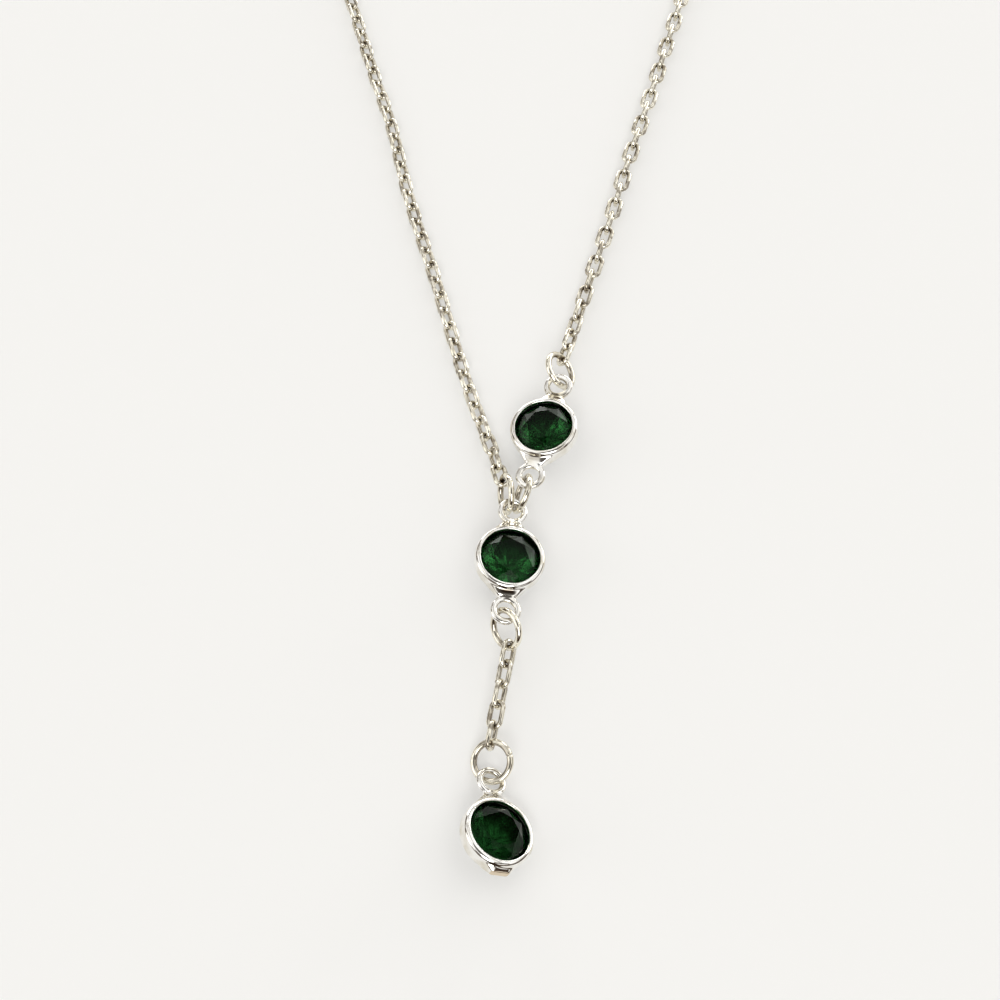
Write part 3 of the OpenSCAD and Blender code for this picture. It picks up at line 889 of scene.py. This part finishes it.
class NECKLACE_OT_settings(bpy.types.Operator):
    """Casts the settings, two with an eye at both ends and one with a snipped stub"""
    bl_idname = "necklace.settings"
    bl_label = "Settings"
    bl_options = {"REGISTER", "UNDO"}

    def execute(self, context):
        sizes, stone = context.scene.necklace_setting, context.scene.necklace_stone
        look = context.scene.necklace_finishes
        # The marks paint shade on the seat and in the necks' creases, and bare metal where the stub was
        # snipped
        silver = plating("setting_silver", look.silver, look.ripple, shaded=look.rim,
                         creased=look.grime_and_shade, snipped=look.copper)
        for which, eyes in EYE_ENDS.items():
            setting = model_setting(f"cast_setting_{which}", sizes, stone, eyes)
            mark_seat(setting, sizes, stone)
            mark_crease_shade(setting, sizes, CREASE_SHADES[which])
            if len(eyes) == 1:
                mark_snipped(setting)
            setting.data.transform(STONE_POSES[which])
            setting.data.materials.append(silver)
            finish_piece(setting, SETTING_METAL, f"setting_{which}")
        return {"FINISHED"}


class NECKLACE_OT_jump_rings(bpy.types.Operator):
    """Bends the jump rings, each with its cut turned where it shows"""
    bl_idname = "necklace.jump_rings"
    bl_label = "Jump rings"
    bl_options = {"REGISTER", "UNDO"}

    def execute(self, context):
        sizes = context.scene.necklace_ring
        pattern = model_jump_ring("ring_pattern", sizes)
        round_edges(pattern, sizes.end_round, segments=2)
        bpy.ops.object.shade_smooth_by_angle(angle=math.radians(50))
        look = context.scene.necklace_finishes
        # Random dark spots, and painted shade on the inside of the wire
        silver = plating("ring_silver", look.chain, look.ripple, sizes.spots, worn=look.grime_and_shade)
        pattern.data.materials.append(silver)
        for node, way in RING_CUTS.items():
            lie = lie_of(solids_of(node)[0])
            through = lie.to_3x3().col[2]
            flat = Vector((*way, 0.0))
            cut_way = flat - flat.dot(through) * through
            ring = copy_at(pattern, pose_from(lie.translation, cut_way, through), f"wire_{node}")
            finish_piece(ring, CHAIN_METAL, node)
        remove(pattern)
        return {"FINISHED"}


class NECKLACE_OT_chains(bpy.types.Operator):
    """Links the two arms of the chain, each a joined run of links"""
    bl_idname = "necklace.chains"
    bl_label = "Chains"
    bl_options = {"REGISTER", "UNDO"}

    def execute(self, context):
        sizes = context.scene.necklace_link
        pattern = model_link("link_pattern", sizes)
        look = context.scene.necklace_finishes
        # Random dark spots, and painted shade on the inside of each link, most at its bends
        silver = plating("chain_silver", look.chain, look.chain_ripple, sizes.spots, worn=look.grime_and_shade)
        pattern.data.materials.append(silver)
        for node in CHAINS:
            links = [copy_at(pattern, lie_of(points), f"{node}_link") for points in solids_of(node)]
            finish_piece(join(f"linked_{node}", links), CHAIN_METAL, node)
        for node in DROP_LINKS:
            link = copy_at(pattern, lie_of(solids_of(node)[0]), f"wire_{node}")
            finish_piece(link, CHAIN_METAL, node)
        remove(pattern)
        return {"FINISHED"}


class NECKLACE_OT_clasp(bpy.types.Operator):
    """Makes the plain clasp at the back of the neck"""
    bl_idname = "necklace.clasp"
    bl_label = "Clasp"
    bl_options = {"REGISTER", "UNDO"}

    def execute(self, context):
        sizes = context.scene.necklace_clasp
        clasp = model_clasp("plain_clasp", sizes)
        look = context.scene.necklace_finishes
        clasp.data.materials.append(plating("clasp_silver", look.chain, look.ripple))
        along = facing(CLASP_LIE.to_3x3().col[0], (1, 0, 0))
        through = CLASP_LIE.to_3x3().col[2]
        right_end = (CLASP - np.array(CLASP_LIE.translation)) @ np.array(along)
        pose = pose_from(CLASP_LIE.translation, along, through)
        pose.translation += along * (right_end.max() - sizes.width / 2)
        clasp.data.transform(pose)
        finish_piece(clasp, CHAIN_METAL, "clasp")
        return {"FINISHED"}


class NECKLACE_OT_studio(bpy.types.Operator):
    """Sets up the pale floor, the soft light and the camera"""
    bl_idname = "necklace.studio"
    bl_label = "Studio"
    bl_options = {"REGISTER", "UNDO"}

    def execute(self, context):
        scene = context.scene
        sizes = scene.necklace_studio
        low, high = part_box("setting_middle")
        aim = Vector(((low.x + high.x) / 2 + sizes.aim[0], (low.y + high.y) / 2 + sizes.aim[1], 0.0))
        self.lay_floor(sizes, aim)
        self.light(scene, sizes)
        self.place_camera(scene, sizes, aim)
        return {"FINISHED"}

    def lay_floor(self, sizes, aim):
        """Lays a wide plain floor at height zero."""
        deselect_all()
        bpy.ops.mesh.primitive_plane_add(size=sizes.floor_width, location=(aim.x, aim.y, 0.0))
        floor = bpy.context.object
        floor.name = "floor"
        floor.data.materials.append(floor_finish())

    def light(self, scene, sizes):
        """A soft room all round: bright above and behind, dim at its foot and dark in front."""
        world = bpy.data.worlds.new("soft_room")
        scene.world = world
        world.use_nodes = True
        nodes, links = world.node_tree.nodes, world.node_tree.links
        direction = nodes.new("ShaderNodeTexCoord").outputs["Generated"]
        height = nodes.new("ShaderNodeSeparateXYZ")
        links.new(direction, height.inputs[0])
        colour = self.blend(nodes, links, height.outputs["Z"], *FOOT_EDGE, ROOM_FOOT, ROOM_TOP)
        things = nodes.new("ShaderNodeTexNoise")
        links.new(direction, things.inputs["Vector"])
        things.inputs["Scale"].default_value = THINGS_SCALE
        things.inputs["Detail"].default_value = 1.0
        dark = self.blend(nodes, links, height.outputs["Z"], *DARK_EDGE, ROOM_DARK, ROOM_TOP)
        colour = self.blend(nodes, links, things.outputs["Fac"], *THINGS_EDGE, colour, dark)
        for towards, inner, outer, patch in ROOM_PATCHES:
            along = nodes.new("ShaderNodeVectorMath")
            along.operation = "DOT_PRODUCT"
            links.new(direction, along.inputs[0])
            along.inputs[1].default_value = Vector(towards).normalized()
            edges = math.cos(math.radians(outer)), math.cos(math.radians(inner))
            colour = self.blend(nodes, links, along.outputs["Value"], *edges, colour, patch)
        room = nodes["Background"]
        links.new(colour, room.inputs["Color"])
        room.inputs["Strength"].default_value = sizes.light
        plain = nodes.new("ShaderNodeBackground")
        plain.inputs["Color"].default_value = (*scene.necklace_finishes.floor, 1.0)
        seen = nodes.new("ShaderNodeLightPath")
        choice = nodes.new("ShaderNodeMixShader")
        links.new(seen.outputs["Is Camera Ray"], choice.inputs[0])
        links.new(room.outputs[0], choice.inputs[1])
        links.new(plain.outputs[0], choice.inputs[2])
        links.new(choice.outputs[0], nodes["World Output"].inputs["Surface"])

    def blend(self, nodes, links, value, low, high, first, second):
        """Blends softly from one colour to another as a value goes from low to high."""
        share = nodes.new("ShaderNodeMapRange")
        share.interpolation_type = "SMOOTHSTEP"
        links.new(value, share.inputs["Value"])
        share.inputs["From Min"].default_value = low
        share.inputs["From Max"].default_value = high
        mixed = nodes.new("ShaderNodeMix")
        mixed.data_type = "RGBA"
        links.new(share.outputs["Result"], mixed.inputs["Factor"])
        for socket, colour in ((mixed.inputs[6], first), (mixed.inputs[7], second)):
            if isinstance(colour, bpy.types.NodeSocket):
                links.new(colour, socket)
            else:
                socket.default_value = (*colour, 1.0)
        return mixed.outputs[2]

    def place_camera(self, scene, sizes, aim):
        """Sets the camera up at the photograph's angle, looking at the aim."""
        back = Vector((0.0, -math.cos(sizes.elevation), math.sin(sizes.elevation)))
        turn = (-back).to_track_quat("-Z", "Y").to_euler()
        bpy.ops.object.camera_add(location=aim + sizes.distance * back, rotation=turn)
        camera = bpy.context.object
        camera.name = "camera"
        camera.data.sensor_width = 36.0
        camera.data.lens = sizes.lens
        camera.data.clip_start = 0.005
        camera.data.clip_end = 10.0
        scene.camera = camera
        scene.view_settings.view_transform = "Standard"


class NECKLACE_PT_panel(bpy.types.Panel):
    """Lists the necklace's pieces and their sizes"""
    bl_idname = "NECKLACE_PT_panel"
    bl_label = "Y Necklace"
    bl_space_type = "VIEW_3D"
    bl_region_type = "UI"
    bl_category = "Necklace"

    def draw(self, context):
        for step in STEPS:
            self.layout.operator(step.bl_idname)
        for name in GROUPS:
            box = self.layout.box()
            box.label(text=name.replace("necklace_", "").capitalize())
            group = getattr(context.scene, name)
            for prop in group.bl_rna.properties:
                if prop.identifier not in ("name", "rna_type"):
                    box.prop(group, prop.identifier)


STEPS = (NECKLACE_OT_stones, NECKLACE_OT_settings, NECKLACE_OT_jump_rings, NECKLACE_OT_chains,
         NECKLACE_OT_clasp, NECKLACE_OT_studio)
GROUPS = {
    "necklace_stone": StoneSizes,
    "necklace_setting": SettingSizes,
    "necklace_ring": RingSizes,
    "necklace_link": LinkSizes,
    "necklace_clasp": ClaspSizes,
    "necklace_finishes": Finishes,
    "necklace_studio": StudioSizes,
}


def register():
    for new_class in (*GROUPS.values(), *STEPS, NECKLACE_PT_panel):
        bpy.utils.register_class(new_class)
    for name, group in GROUPS.items():
        setattr(bpy.types.Scene, name, PointerProperty(type=group))


def unregister():
    for name in GROUPS:
        delattr(bpy.types.Scene, name)
    for old_class in reversed((*GROUPS.values(), *STEPS, NECKLACE_PT_panel)):
        bpy.utils.unregister_class(old_class)


def main():
    register()
    bpy.ops.necklace.stones()
    bpy.ops.necklace.settings()
    bpy.ops.necklace.jump_rings()
    bpy.ops.necklace.chains()
    bpy.ops.necklace.clasp()
    bpy.ops.necklace.studio()


if __name__ == "__main__":
    main()
